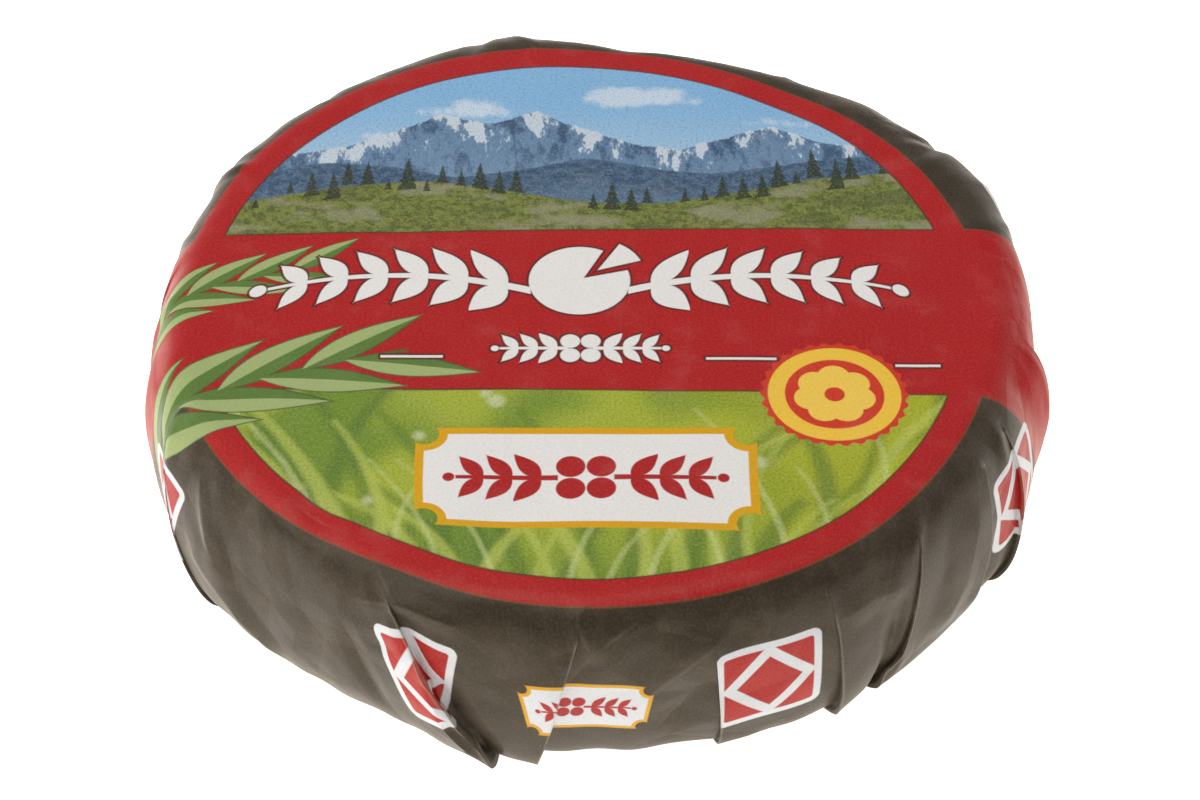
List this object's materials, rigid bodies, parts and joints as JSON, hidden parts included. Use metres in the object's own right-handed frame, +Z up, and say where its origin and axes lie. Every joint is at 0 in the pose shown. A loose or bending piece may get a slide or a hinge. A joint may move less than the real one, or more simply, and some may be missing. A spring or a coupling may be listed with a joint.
{
  "type": "wrapped reblochon cheese",
  "caption": "Flat round soft cheese, wrapped whole in a sheet of printed paper that is folded over its side and pressed flat underneath.",
  "frame": {"origin": "middle of the underside's outline, on the surface that the cheese stands on", "axes": "+Z up through the flat round; -Y is the front, the side nearest the picture's camera; +X to the right"},
  "size_m": [0.1374, 0.1376, 0.033],
  "materials": {
    "printed_paper": "satin"
  },
  "bodies": {
    "root": {"wrapped_cheese": "printed_paper"}
  },
  "joints": []
}
